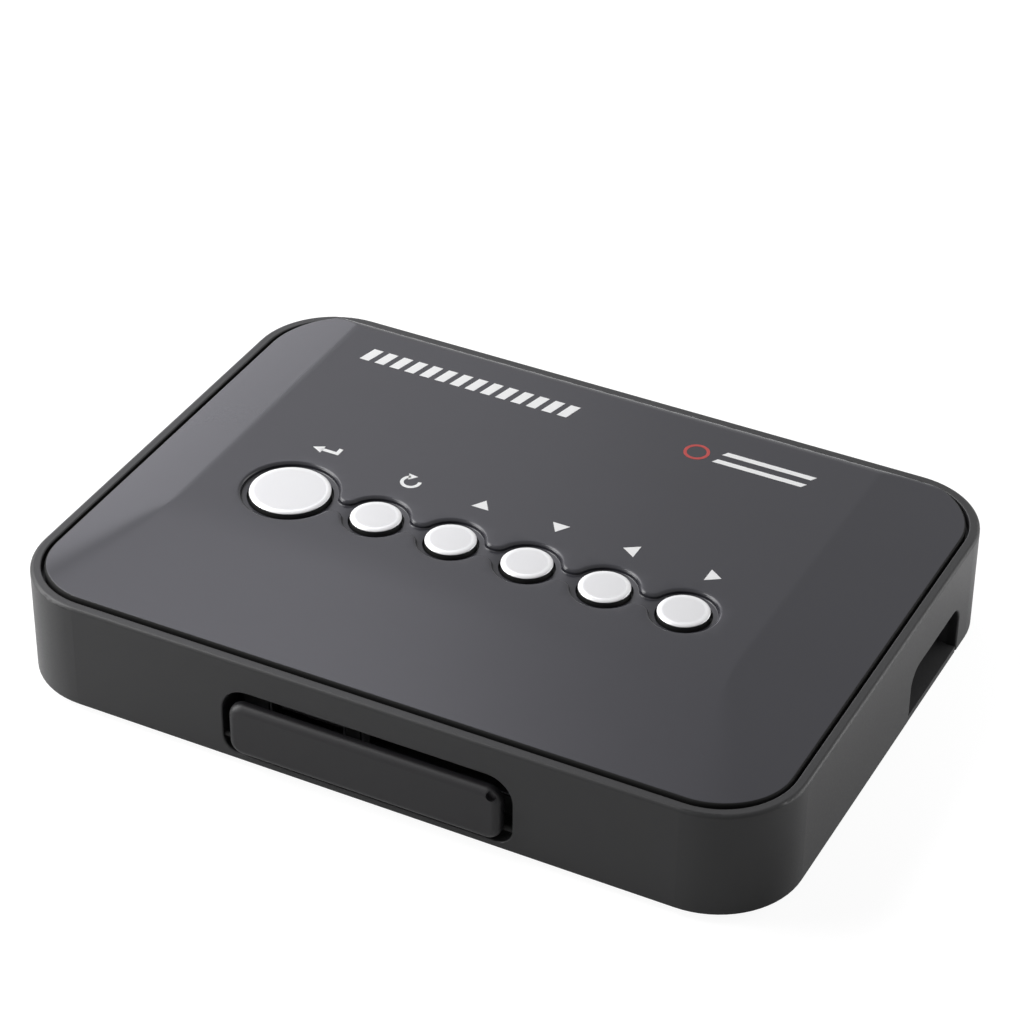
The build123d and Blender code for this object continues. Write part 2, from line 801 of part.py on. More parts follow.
def usb_core():
    """Moulded block and tongue inside the data socket."""
    z = board_bottom - usb_height / 2
    start = bay_back + mouth_setback
    inner_width = usb_width - 2 * usb_sheet
    inner_height = usb_height - 2 * usb_sheet
    end = start + usb_length
    back = along_y(Pos(usb_x, z) * Rectangle(inner_width, inner_height), end - usb_block_length, end)
    tongue_top = z + inner_height / 2 - usb_tongue_drop
    return back + block(usb_x - usb_tongue_width / 2, usb_x + usb_tongue_width / 2,
                        start + usb_tongue_setback, end - usb_block_length,
                        tongue_top - usb_tongue_thickness, tongue_top)


def card_tray():
    """Moulded tray of the card slot: a floor against the board, two rails and a back wall."""
    start = bay_back + mouth_setback
    end = start + card_length
    half = card_slot_width / 2 + card_rail_width
    low = board_bottom - card_floor - card_slot_height
    body = block(card_x - half, card_x + half, start, end, low, board_bottom)
    return body - block(card_x - card_slot_width / 2, card_x + card_slot_width / 2, start - past,
                        end - card_back_wall, low - past, board_bottom - card_floor)


def card_shell():
    """Sheet metal cover under the card tray, folded up at both sides."""
    start = bay_back + mouth_setback
    inner = card_slot_width / 2 + card_rail_width
    outer = inner + card_sheet
    floor = board_bottom - card_floor - card_slot_height
    body = block(card_x - outer, card_x + outer, start, start + card_length, floor - card_sheet, board_bottom)
    return body - block(card_x - inner, card_x + inner, start - past, start + card_length + past,
                        floor, board_bottom + past)


def front_lens_part(x, width, depth, height, lens_radius):
    """Package at the front edge of the main board whose round lens looks through the bay's back wall."""
    front = board_front
    z = board_top + height / 2
    body = block(x - width / 2, x + width / 2, front, front + depth, board_top, board_top + height)
    lens = rod_y(x, bay_back + mouth_setback, front, z, lens_radius)
    lens = fillet(lens.edges().group_by(Axis.Y)[0], lens_rounding)
    return body + lens


# Video socket

def video_profile(gap):
    """Outline of the video socket's shell: a flat tube with its two lower corners cut off."""
    half = video_width / 2 + gap
    high = board_bottom + gap
    low = board_bottom - video_height - gap
    cut = video_chamfer
    points = [(port_y - half, high), (port_y + half, high), (port_y + half, low + cut),
              (port_y + half - cut, low), (port_y - half + cut, low), (port_y - half, low + cut)]
    return make_face(Polyline(*points, close=True))


def video_shell():
    """Sheet metal tube of the video socket."""
    end = port_back - mouth_setback
    return along_x(video_profile(0) - video_profile(-video_sheet), end - video_length, end)


def video_core():
    """Moulded block and tongue inside the video socket."""
    end = port_back - mouth_setback
    start = end - video_length
    back = along_x(video_profile(-video_sheet), start, start + video_block_length)
    z = board_bottom - video_height / 2
    half = video_tongue_width / 2
    return back + block(start + video_block_length, end - video_tongue_setback, port_y - half, port_y + half,
                        z - video_tongue_thickness / 2, z + video_tongue_thickness / 2)


# Back sockets

def jack_body(x, bore_radius, bore_depth):
    """Moulded socket behind the back wall, its round nose in the wall's hole."""
    half = jack_width / 2
    body = block(x - half, x + half, jack_back - jack_length, jack_back,
                 board_bottom - jack_height, board_bottom)
    tip = wall_back - jack_nose_setback
    body += rod_y(x, jack_back, tip, jack_z, jack_nose_radius)
    return body - rod_y(x, tip - bore_depth, tip, jack_z, bore_radius)


def power_pin():
    """Centre contact of the power socket."""
    root = wall_back - jack_nose_setback - power_bore_depth
    pin = rod_y(power_x, root, root + power_pin_length, jack_z, power_pin_radius)
    return fillet(pin.edges().group_by(Axis.Y)[-1], power_pin_rounding)


# Writing the pieces

def save(name, shape):
    """Write one piece under its own name."""
    export_step(shape, "parts/" + name + ".step")


def save_case():
    """Covers, frame, feet and case screws."""
    save("top_cover", top_cover())
    save("side_frame", side_frame())
    save("base_cover", base_cover())
    save("case_screws", case_screws())
    names = ["foot_front_left", "foot_back_left", "foot_front_right", "foot_back_right"]
    for name, (x, y) in zip(names, foot_places()):
        save(name, foot(x, y))
    save("front_flap", front_flap())
    save("flap_pin_left", flap_pin(-1))
    save("flap_pin_right", flap_pin(1))


def save_keys():
    """Keys, switches, key board and ribbon."""
    save("enter_key", key(enter_key_x, enter_key_radius))
    save("enter_plunger", plunger(enter_key_x))
    save("enter_switch", switch(enter_key_x))
    for name, x in zip(key_names, small_key_xs):
        save(name + "_key", key(x, small_key_radius))
        save(name + "_plunger", plunger(x))
        save(name + "_switch", switch(x))
    save("key_board", key_board())
    save("key_screws", key_screws())
    save("key_connector", key_connector())
    save("board_connector", board_connector())
    save("key_ribbon", key_ribbon())


def save_board():
    """Main board and what is on it."""
    save("main_board", main_board())
    save("board_screws", board_screws())
    save("main_chip", main_chip())
    save("thermal_pad", thermal_pad())
    save("heat_sink", heat_sink())
    save("memory_chip_left", memory_chip(-1))
    save("memory_chip_right", memory_chip(1))
    memory_side = chip_x - sink_width / 2 - memory_gap - memory_width
    flash_x = memory_side - flash_gap - flash_width / 2
    save("flash_chip", chip(flash_x, chip_y, flash_width, flash_length, flash_height))
    save("crystal", crystal())
    coil_x = power_x - power_row_gap - coil_width / 2
    regulator_x = coil_x - coil_width / 2 - power_row_gap - regulator_width / 2
    save("power_coil", power_coil(coil_x))
    save("regulator", chip(regulator_x, power_row_y, regulator_width, regulator_width, regulator_height))
    for i, name in enumerate(("capacitor_front", "capacitor_back")):
        save(name, capacitor(board_half_length - capacitor_edge_gap - capacitor_radius, -i * capacitor_pitch))


def save_sockets():
    """Sockets, remote receiver and status lamp."""
    save("usb_shell", usb_shell())
    save("usb_core", usb_core())
    save("card_tray", card_tray())
    save("card_shell", card_shell())
    save("remote_receiver", front_lens_part(receiver_x, receiver_width, receiver_depth, receiver_height,
                                            receiver_lens_radius))
    save("status_lamp", front_lens_part(lamp_x, lamp_width, lamp_depth, lamp_height, lamp_lens_radius))
    save("video_shell", video_shell())
    save("video_core", video_core())
    save("power_socket", jack_body(power_x, power_bore_radius, power_bore_depth))
    save("power_pin", power_pin())
    save("av_socket", jack_body(av_x, av_bore_radius, av_bore_depth))


os.makedirs("parts", exist_ok=True)
save_case()
save_keys()
save_board()
save_sockets()
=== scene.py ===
"""Small media player: crowned panel, keys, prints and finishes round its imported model. Sizes in mm, scene in metres."""
from math import atan2, cos, pi, radians, sin, sqrt

import bmesh
import bpy
import numpy as np
from mathutils import Matrix, Vector
from mathutils.geometry import delaunay_2d_cdt, tessellate_polygon


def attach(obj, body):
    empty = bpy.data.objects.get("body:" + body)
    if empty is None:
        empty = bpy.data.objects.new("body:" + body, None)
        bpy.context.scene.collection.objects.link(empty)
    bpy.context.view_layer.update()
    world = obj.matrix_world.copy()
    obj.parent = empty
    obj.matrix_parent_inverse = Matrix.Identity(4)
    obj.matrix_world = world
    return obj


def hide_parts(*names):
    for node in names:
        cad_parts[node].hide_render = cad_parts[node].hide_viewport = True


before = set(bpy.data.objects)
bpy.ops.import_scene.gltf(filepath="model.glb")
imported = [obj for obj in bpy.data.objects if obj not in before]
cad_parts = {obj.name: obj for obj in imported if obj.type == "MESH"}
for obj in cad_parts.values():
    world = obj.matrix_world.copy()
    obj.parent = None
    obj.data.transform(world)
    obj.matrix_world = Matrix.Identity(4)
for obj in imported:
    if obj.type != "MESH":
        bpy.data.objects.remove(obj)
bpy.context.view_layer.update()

MM = 0.001

# Heights over the table
PLATEAU = 21.5
RIM_TOP = 19.8
LEDGE_TOP = 17.8
PANEL_THICK = 2.0
WELL_DEPTH = 0.85

# Panel outline and crown: half length and half depth, corner, edge rounding, lip, then widths and radii of the slopes
PANEL_HALF_X = 62.75
PANEL_HALF_Y = 45.0
PANEL_CORNER = 11.75
PANEL_EDGE_ROUND = 0.4
PANEL_LIP = 2.5
EDGE_LOOPS = 9
# Rounding loops that keep the panel's grey; the black beyond them is painted shade for the groove
GREY_EDGE_LOOPS = 5
CROWN = PLATEAU - RIM_TOP
LEFT_WIDTH = 11.75
RIGHT_WIDTH = 17.45
SIDE_CREASE_RADIUS = 10.0
FRONT_WIDTH = 27.0
FRONT_STEP = 0.35
FRONT_CREASE_RADIUS = 160.0
BACK_ROLL = 3.0
HIP_POWER = 6.0
LEFT_CREASE = -PANEL_HALF_X + LEFT_WIDTH
RIGHT_CREASE = PANEL_HALF_X - RIGHT_WIDTH
FRONT_CREASE = -PANEL_HALF_Y + FRONT_WIDTH

# Keys: name of the body, x of the centre, cap radius; one y for the row
KEY_Y = -6.2
KEYS = [
    ("enter", -36.2, 6.6),
    ("back", -20.6, 4.12),
    ("up", -7.25, 4.12),
    ("down", 6.1, 4.12),
    ("left", 19.45, 4.12),
    ("right", 32.8, 4.12),
]

# Sunk ground round the keys: border round a cap, half width and rounding of a neck, gap round a cap
WELL_BORDER = 1.25
NECK_HALF = 1.3
NECK_FILLET = 1.75
HOLE_GAP = 0.3

# Key caps: heights over the table, then radii
CAP_TOP = 21.7
FLANGE_TOP = 19.4
FLANGE_BOTTOM = 18.6
STEM_BOTTOM = 17.7
FLANGE_REACH = 0.8
STEM_RADIUS = 1.6

# Bosses under the panel: x, y, radius, bore radius, low end, bore end, top
CASE_BOSSES = [(x, y, 2.75, 1.28, 6.5, 13.65, 19.2) for x in (-54.5, 54.5) for y in (-36.75, 36.75)]
KEY_BOSSES = [(x, y, 2.2, 0.93, 13.2, 17.35, 20.2) for x in (-46.0, 40.12) for y in (-11.7, -0.7)]


# Finishes

def finish(name, colour, roughness, metal=0.0, level=0.5, coat=0.0, ior=1.5, shade=0.06, patch=14.0,
           grain=0.35, relief=0.004, play=0.05, stretch=(1, 1, 1)):
    """Shader for one moulded, cast or printed finish.

    Broad noise in Object coordinates, patch mm across, moves the colour by the share in shade; fine noise, grain mm
    across, moves the roughness by play and raises the surface by relief mm. stretch lengthens both along an axis.
    """
    made = bpy.data.materials.new(name)
    made.use_nodes = True
    nodes = made.node_tree.nodes
    links = made.node_tree.links
    shader = nodes["Principled BSDF"]
    shader.inputs["Metallic"].default_value = metal
    shader.inputs["Specular IOR Level"].default_value = level
    shader.inputs["IOR"].default_value = ior
    shader.inputs["Coat Weight"].default_value = coat
    shader.inputs["Coat Roughness"].default_value = 0.08
    place = nodes.new("ShaderNodeTexCoord")
    turn = nodes.new("ShaderNodeMapping")
    turn.inputs["Scale"].default_value = stretch
    links.new(place.outputs["Object"], turn.inputs["Vector"])
    broad = nodes.new("ShaderNodeTexNoise")
    broad.inputs["Scale"].default_value = 1 / (patch * MM)
    broad.inputs["Detail"].default_value = 3.0
    fine = nodes.new("ShaderNodeTexNoise")
    fine.inputs["Scale"].default_value = 1 / (grain * MM)
    fine.inputs["Detail"].default_value = 2.0
    links.new(turn.outputs["Vector"], broad.inputs["Vector"])
    links.new(turn.outputs["Vector"], fine.inputs["Vector"])
    tint = nodes.new("ShaderNodeMix")
    tint.data_type = "RGBA"
    tint.inputs[6].default_value = [c * (1 - shade) for c in colour] + [1]
    tint.inputs[7].default_value = [min(1.0, c * (1 + shade)) for c in colour] + [1]
    links.new(broad.outputs["Fac"], tint.inputs["Factor"])
    links.new(tint.outputs[2], shader.inputs["Base Color"])
    rough = nodes.new("ShaderNodeMapRange")
    rough.inputs["To Min"].default_value = max(0.02, roughness - play)
    rough.inputs["To Max"].default_value = min(1.0, roughness + play)
    links.new(fine.outputs["Fac"], rough.inputs["Value"])
    links.new(rough.outputs["Result"], shader.inputs["Roughness"])
    bump = nodes.new("ShaderNodeBump")
    bump.inputs["Strength"].default_value = 1.0
    bump.inputs["Distance"].default_value = relief * MM
    links.new(fine.outputs["Fac"], bump.inputs["Height"])
    links.new(bump.outputs["Normal"], shader.inputs["Normal"])
    return made


case_plastic = finish("satin_case_plastic", (0.026, 0.026, 0.027), 0.42, level=0.33, relief=0.002)
panel_plastic = finish("satin_panel_plastic", (0.0298, 0.0296, 0.037), 0.24, level=0.42, relief=0.0012, play=0.03)
# Near-black on the panel's edge and lip: painted shade for the dark groove between the panel and the rim
groove_shade_black = finish("panel_edge_painted_groove_shade", (0.008, 0.008, 0.008), 0.7, level=0.15, relief=0.001)
base_plastic = finish("matte_base_plastic", (0.022, 0.022, 0.023), 0.6, grain=0.5, relief=0.01)
foot_rubber = finish("black_foot_rubber", (0.018, 0.018, 0.018), 0.85, grain=0.25, relief=0.008)
flap_plastic = finish("smoked_flap_plastic", (0.012, 0.0115, 0.013), 0.46, level=0.34, relief=0.001, play=0.03)
# Pins darkened to near black: painted shade for the gap round the flap where they sit
pin_shade_black = finish("pin_steel_painted_shade", (0.012, 0.012, 0.012), 0.6, level=0.2, patch=1.0)
cap_silver = finish("silver_key_paint", (0.77, 0.77, 0.78), 0.45, metal=0.1, shade=0.02, relief=0.002)
# Near-white rim on the keys' bevel: painted highlight, brighter than the silver face where the bevel catches light
cap_rim_highlight = finish("key_rim_painted_highlight", (0.95, 0.95, 0.96), 0.25, metal=0.25, shade=0.01, relief=0.001)
cap_side = finish("black_key_side", (0.012, 0.012, 0.012), 0.5)
white_ink = finish("white_print", (0.84, 0.84, 0.84), 0.55, shade=0.03, patch=2.0)
red_ink = finish("red_print", (0.42, 0.045, 0.04), 0.55, shade=0.05, patch=2.0)
steel = finish("zinc_plated_steel", (0.56, 0.57, 0.58), 0.3, metal=1.0, patch=3.0, stretch=(1, 6, 1))
# Socket shells darkened far below bare nickel: painted shade for the gaps and the port round them
nickel_shade_dark = finish("nickel_shell_painted_shade", (0.11, 0.11, 0.115), 0.5, metal=1.0, patch=3.0, stretch=(1, 6, 1))
switch_black = finish("switch_body_plastic", (0.02, 0.02, 0.02), 0.4, patch=3.0)
plunger_brown = finish("plunger_plastic", (0.16, 0.07, 0.03), 0.4, patch=2.0)
board_green = finish("green_board_lacquer", (0.012, 0.085, 0.035), 0.3, shade=0.35, patch=2.2, relief=0.02,
                     stretch=(1, 5, 1))
connector_cream = finish("cream_connector_plastic", (0.62, 0.56, 0.42), 0.45, patch=2.0)
ribbon_white = finish("ribbon_film", (0.62, 0.63, 0.64), 0.3, shade=0.3, patch=0.7, stretch=(1, 0.05, 1))
chip_black = finish("chip_moulding", (0.014, 0.014, 0.015), 0.55, patch=3.0, grain=0.12, relief=0.006)
pad_grey = finish("thermal_pad_silicone", (0.30, 0.34, 0.38), 0.75, patch=2.0, relief=0.02)
sink_metal = finish("extruded_aluminium", (0.62, 0.62, 0.63), 0.35, metal=1.0, patch=1.0, stretch=(5, 0.3, 1))
can_metal = finish("drawn_aluminium_can", (0.72, 0.72, 0.73), 0.25, metal=1.0, patch=2.0, stretch=(1, 1, 5))
ferrite = finish("coil_ferrite", (0.05, 0.05, 0.055), 0.7, patch=1.5, relief=0.02)
socket_black = finish("socket_plastic", (0.016, 0.016, 0.017), 0.42, patch=3.0)
receiver_dark = finish("receiver_epoxy", (0.035, 0.008, 0.012), 0.12, patch=2.0, relief=0.001)
lamp_milky = finish("lamp_diffuser", (0.55, 0.60, 0.66), 0.3, patch=1.5, relief=0.001)

NODE_FINISHES = {
    case_plastic: ["side_frame"],
    base_plastic: ["base_cover"],
    foot_rubber: ["foot_front_left", "foot_front_right", "foot_back_left", "foot_back_right"],
    flap_plastic: ["front_flap"],
    pin_shade_black: ["flap_pin_left", "flap_pin_right"],
    steel: ["case_screws", "key_screws", "board_screws", "power_pin"],
    nickel_shade_dark: ["usb_shell", "card_shell", "video_shell"],
    board_green: ["main_board", "key_board"],
    connector_cream: ["key_connector", "board_connector"],
    ribbon_white: ["key_ribbon"],
    chip_black: ["main_chip", "memory_chip_left", "memory_chip_right", "flash_chip", "regulator"],
    pad_grey: ["thermal_pad"],
    sink_metal: ["heat_sink"],
    can_metal: ["crystal", "capacitor_front", "capacitor_back"],
    ferrite: ["power_coil"],
    socket_black: ["usb_core", "card_tray", "video_core", "power_socket", "av_socket"],
    receiver_dark: ["remote_receiver"],
    lamp_milky: ["status_lamp"],
    switch_black: [f"{name}_switch" for name, x, radius in KEYS],
    plunger_brown: [f"{name}_plunger" for name, x, radius in KEYS],
}


def dress(node, material):
    """Gives a carried-over node one finish on all its faces."""
    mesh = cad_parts[node].data
    mesh.materials.clear()
    mesh.materials.append(material)


for material, names in NODE_FINISHES.items():
    for name in names:
        dress(name, material)


# Mesh making

def add_piece(name, parts, materials, body, sharp=35):
    """One mesh from (points, faces, finish number) parts in mm, doubles merged, normals outwards, riding on a body."""
    built = bmesh.new()
    for points, faces, finish_number in parts:
        corners = [built.verts.new(p) for p in np.asarray(points, float) * MM]
        for face in faces:
            made = built.faces.new([corners[i] for i in face])
            made.material_index = finish_number
    bmesh.ops.remove_doubles(built, verts=built.verts, dist=0.002 * MM)
    bmesh.ops.recalc_face_normals(built, faces=built.faces)
    mesh = bpy.data.meshes.new(name)
    built.to_mesh(mesh)
    built.free()
    for material in materials:
        mesh.materials.append(material)
    mesh.shade_smooth()
    mesh.set_sharp_from_angle(angle=radians(sharp))
    piece = bpy.data.objects.new(name, mesh)
    bpy.context.scene.collection.objects.link(piece)
    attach(piece, body)
    return piece


def strip_faces(rows, columns, around=False):
    """Quads between the rows of a grid of points; around joins the last column to the first."""
    row, column = np.meshgrid(np.arange(rows - 1), np.arange(columns if around else columns - 1), indexing="ij")
    following = (column + 1) % columns
    quads = np.stack([row * columns + column, row * columns + following,
                      (row + 1) * columns + following, (row + 1) * columns + column], -1)
    return quads.reshape(-1, 4).tolist()


def lathe(profile, x, y, turns=96, closed=False):
    """Solid of revolution: each (radius, height) of the profile runs round an upright axis at (x, y).

    A point on the axis is one pole with a fan of triangles; closed joins the last ring to the first for a tube.
    """
    angles = 2 * pi * np.arange(turns) / turns
    profile = list(profile) + ([profile[0]] if closed else [])
    rings = np.array([[(x + r * cos(a), y + r * sin(a), z) for a in angles] for r, z in profile])
    points = rings.reshape(-1, 3)
    faces = []
    for face in strip_faces(len(profile), turns, around=True):
        low_pole = profile[face[0] // turns][0] == 0
        high_pole = profile[face[2] // turns][0] == 0
        if low_pole:
            face = [face[0] // turns * turns, face[2], face[3]]
        elif high_pole:
            face = [face[0], face[1], face[2] // turns * turns]
        faces.append(face)
    return points, faces


def quarter(radius, start, end, count=6):
    """Cosines and sines of a rounding, from one angle to another, times its radius."""
    angles = np.linspace(radians(start), radians(end), count)
    return radius * np.cos(angles), radius * np.sin(angles)


# Crowned panel

def crease_drop(distance, slope, radius):
    """Drop past a crease: none before it, a steady slope after it, and an arc of the radius that joins the two."""
    tangent = radius * (sqrt(1 + slope * slope) - 1) / slope
    arc_end = tangent / sqrt(1 + slope * slope)
    reach = np.clip(distance + tangent, 0, arc_end + tangent)
    arc = radius - np.sqrt(radius * radius - reach * reach)
    return np.where(distance > arc_end, slope * distance, arc)


def crown_height(x, y):
    """Height of the crown: the plateau less the side, front and back drops, joined softly by a power mean."""
    left = crease_drop(LEFT_CREASE - x, CROWN / LEFT_WIDTH, SIDE_CREASE_RADIUS)
    right = crease_drop(x - RIGHT_CREASE, CROWN / RIGHT_WIDTH, SIDE_CREASE_RADIUS)
    side = np.maximum(left, right)
    front = crease_drop(FRONT_CREASE - y, (CROWN - FRONT_STEP) / FRONT_WIDTH, FRONT_CREASE_RADIUS)
    roll_radius = (BACK_ROLL ** 2 + CROWN ** 2) / (2 * CROWN)
    reach = np.clip(y - (PANEL_HALF_Y - BACK_ROLL), 0, BACK_ROLL)
    back = roll_radius - np.sqrt(roll_radius ** 2 - reach ** 2)
    drop = (side ** HIP_POWER + front ** HIP_POWER + back ** HIP_POWER) ** (1 / HIP_POWER)
    return PLATEAU - drop


def rounding_drop(distance, radius):
    """Drop of a rounded edge at a distance in from it: a quarter circle of the radius."""
    reach = np.clip(radius - distance, 0, radius)
    return radius - np.sqrt(radius ** 2 - reach ** 2)


def well_outline():
    """Points and outward directions round the sunk ground.

    Half the outline goes from the left end to the right: an arc of each key's circle, then the fillets into the neck
    between two circles. The other half mirrors it.
    """
    points, normals = [], []
    reach = NECK_HALF + NECK_FILLET
    for number, (name, x, cap) in enumerate(KEYS):
        radius = cap + WELL_BORDER
        span = sqrt((radius + NECK_FILLET) ** 2 - reach ** 2)
        neck = atan2(reach, span)
        first = number == 0
        last = number == len(KEYS) - 1
        arcs = [(x, 0, radius, np.linspace(pi if first else pi - neck, 0 if last else neck, 65))]
        if not first:
            arcs.insert(0, (x - span, reach, -NECK_FILLET, np.linspace(pi / 2, pi - neck, 17)[:-1]))
        if not last:
            arcs.append((x + span, reach, -NECK_FILLET, np.linspace(neck, pi / 2, 17)[1:]))
        for middle_x, middle_y, r, a in arcs:
            directions = np.column_stack([np.cos(a), np.sin(a)])
            points.append(directions * r + (middle_x, middle_y))
            normals.append(directions)
    halves = []
    for row in (points, normals):
        upper = np.vstack(row)
        lower = (upper * (1, -1))[-2:0:-1]
        halves.append(np.vstack([upper, lower]))
    return halves


def panel_outline(inset):
    """Points round the panel's outline, drawn in by an inset: four corner arcs and straight runs cut at even steps."""
    radius = PANEL_CORNER - inset
    corner_x = PANEL_HALF_X - PANEL_CORNER
    corner_y = PANEL_HALF_Y - PANEL_CORNER
    points = []
    for turn, (sx, sy) in enumerate([(1, 1), (-1, 1), (-1, -1), (1, -1)]):
        a = pi / 2 * (turn + np.linspace(0, 1, 33))
        points.append(np.column_stack([sx * corner_x + radius * np.cos(a), sy * corner_y + radius * np.sin(a)]))
        along = np.linspace(0, 1, 73 if turn % 2 == 0 else 49)[1:-1, None]
        following = [(-1, 1), (-1, -1), (1, -1), (1, 1)][turn]
        ahead = pi / 2 * (turn + 1)
        out = radius * np.array([[cos(ahead), sin(ahead)]])
        here = np.array([[sx * corner_x, sy * corner_y]]) + out
        there = np.array([[following[0] * corner_x, following[1] * corner_y]]) + out
        points.append(here + along * (there - here))
    return np.vstack(points)


def within(spots, loop):
    """Which spots lie inside a loop: a line drawn to one side crosses the loop an odd number of times."""
    ahead = np.roll(loop, -1, axis=0)
    x, y = spots[:, :1], spots[:, 1:]
    straddles = (loop[:, 1] > y) != (ahead[:, 1] > y)
    rise = np.where(ahead[:, 1] == loop[:, 1], 1, ahead[:, 1] - loop[:, 1])
    crossing = loop[:, 0] + (y - loop[:, 1]) * (ahead[:, 0] - loop[:, 0]) / rise
    return (straddles & (x < crossing)).sum(axis=1) % 2 == 1


def crown_spots():
    """Grid over the panel whose lines bunch up at the creases and along the back roll."""
    slope_step, flat_step, flat_step_y = 1.3, 1.9, 2.0
    near_left = LEFT_CREASE + np.linspace(-0.9, 0.9, 9)
    near_right = RIGHT_CREASE + np.linspace(-0.7, 0.7, 9)
    near_back = PANEL_HALF_Y - BACK_ROLL + np.linspace(-0.4, 2.2, 9)
    x = np.concatenate([np.arange(-62, LEFT_CREASE - 1.2, slope_step), near_left,
                        np.arange(LEFT_CREASE + 2, RIGHT_CREASE - 1.5, flat_step), near_right,
                        np.arange(RIGHT_CREASE + 1.8, 62.4, slope_step)])
    y = np.concatenate([np.arange(-44.2, FRONT_CREASE + 7, slope_step),
                        np.arange(FRONT_CREASE + 8, PANEL_HALF_Y - 4, flat_step_y), near_back])
    return np.stack(np.meshgrid(x, y, indexing="ij"), -1).reshape(-1, 2)


def crowned_fill(outer, hole, drop):
    """Crown between an outer loop and the hole of the wells, a drop lower: Delaunay triangles through the grid."""
    spots = crown_spots()
    loops = [outer, hole]
    least_gap = 0.35
    for loop in loops:
        gaps = np.hypot(spots[:, None, 0] - loop[None, :, 0], spots[:, None, 1] - loop[None, :, 1])
        spots = spots[gaps.min(axis=1) > least_gap]
    spots = spots[within(spots, outer) & ~within(spots, hole)]
    edges = []
    begin = 0
    for loop in loops:
        numbers = begin + np.arange(len(loop))
        edges += np.column_stack([numbers, np.roll(numbers, -1)]).tolist()
        begin += len(loop)
    flat = np.vstack(loops + [spots])
    found = delaunay_2d_cdt([Vector(p) for p in flat.tolist()], edges, [], 0, 1e-7)
    plan = np.array([tuple(p) for p in found[0]])
    triangles = np.array(found[2])
    middles = plan[triangles].mean(axis=1)
    triangles = triangles[within(middles, outer) & ~within(middles, hole)]
    return np.column_stack([plan, crown_height(plan[:, 0], plan[:, 1]) - drop]), triangles.tolist()


def flat_fill(outer, holes, height):
    """Flat ground between an outer loop and round holes, cut into triangles."""
    loops = [outer] + holes
    triangles = tessellate_polygon([[Vector((p[0], p[1], 0)) for p in loop] for loop in loops])
    points = np.vstack([np.column_stack([loop, np.full(len(loop), height)]) for loop in loops])
    return points, [list(t) for t in triangles]


def circle(x, y, radius, count=96):
    """Points round a circle."""
    angles = 2 * pi * np.arange(count) / count
    return np.column_stack([x + radius * np.cos(angles), y + radius * np.sin(angles)])


def panel_parts():
    """Crowned panel with its rounded edge, lip, key wells and key holes.

    The crown is laid between the panel's outline and the mouth of the wells. Loops of the outline at growing insets
    carry the rounded edge, whose height is the crown less the drop of a quarter circle, and the lip under it. The grey
    finish ends halfway round the edge; beyond it the edge and lip are black, painted shade for the dark groove between
    the panel and the rim.
    """
    outline, normals = well_outline()
    outline = outline + (0, KEY_Y)
    mouth_round, foot_round, hole_round = 0.6, 0.2, 0.1
    mouth = outline + normals * mouth_round
    parts = [(*crowned_fill(panel_outline(PANEL_EDGE_ROUND), mouth, 0), 0)]
    loops = []
    for share in np.cos(np.linspace(0, pi / 2, EDGE_LOOPS)):
        inset = PANEL_EDGE_ROUND * share if share > 1e-9 else 0
        loop = panel_outline(inset)
        height = crown_height(loop[:, 0], loop[:, 1]) - rounding_drop(inset, PANEL_EDGE_ROUND)
        loops.append(np.column_stack([loop, height]))
    rim = panel_outline(0)
    lip = panel_outline(PANEL_LIP)
    loops.append(np.column_stack([rim, np.full(len(rim), LEDGE_TOP)]))
    loops.append(np.column_stack([lip, np.full(len(lip), LEDGE_TOP)]))
    loops.append(np.column_stack([lip, crown_height(lip[:, 0], lip[:, 1]) - PANEL_THICK]))
    # Rows past the grey ones take the black finish, painted shade for the groove between panel and rim
    painted, groove_shade_loops = loops[:GREY_EDGE_LOOPS], loops[GREY_EDGE_LOOPS - 1:]
    parts.append((np.vstack(painted), strip_faces(len(painted), len(rim), around=True), 0))
    parts.append((np.vstack(groove_shade_loops), strip_faces(len(groove_shade_loops), len(rim), around=True), 1))
    parts.append((*crowned_fill(lip, mouth, PANEL_THICK), 0))

    floor_height = PLATEAU - WELL_DEPTH
    across, down = quarter(mouth_round, 90, 180, 8)
    mouth_height = crown_height(mouth[:, 0], mouth[:, 1])
    loops = [np.column_stack([outline + normals * (mouth_round + a), mouth_height + d - mouth_round])
             for a, d in zip(across, down)]
    across, down = quarter(foot_round, 0, -90, 5)
    for a, d in zip(across, down):
        place = outline + normals * (a - foot_round)
        loops.append(np.column_stack([place, np.full(len(place), floor_height + foot_round + d)]))
    parts.append((np.vstack(loops), strip_faces(len(loops), len(mouth), around=True), 0))

    mouths = [circle(kx, KEY_Y, cap + HOLE_GAP + hole_round) for name, kx, cap in KEYS]
    bottoms = [circle(kx, KEY_Y, cap + HOLE_GAP) for name, kx, cap in KEYS]
    parts.append((*flat_fill(loops[-1][:, :2], mouths, floor_height), 0))
    under_points, under_faces = flat_fill(mouth, bottoms, PLATEAU - PANEL_THICK)
    under_points[:len(mouth), 2] = mouth_height - PANEL_THICK
    parts.append((under_points, under_faces, 0))
    for name, kx, cap in KEYS:
        across, down = quarter(hole_round, 90, 180, 4)
        ring = [(cap + HOLE_GAP + hole_round + a, floor_height - hole_round + d) for a, d in zip(across, down)]
        ring.append((cap + HOLE_GAP, PLATEAU - PANEL_THICK))
        parts.append((*lathe(ring, kx, KEY_Y), 0))
    for bx, by, radius, bore, low, bore_end, high in CASE_BOSSES + KEY_BOSSES:
        tube = [(0, bore_end), (bore, bore_end), (bore, low), (radius, low), (radius, high), (0, high)]
        parts.append((*lathe(tube, bx, by, turns=48), 0))
    return parts


panel = add_piece("crowned_panel", panel_parts(), [panel_plastic, groove_shade_black], "case")
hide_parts("top_cover")


# Keys

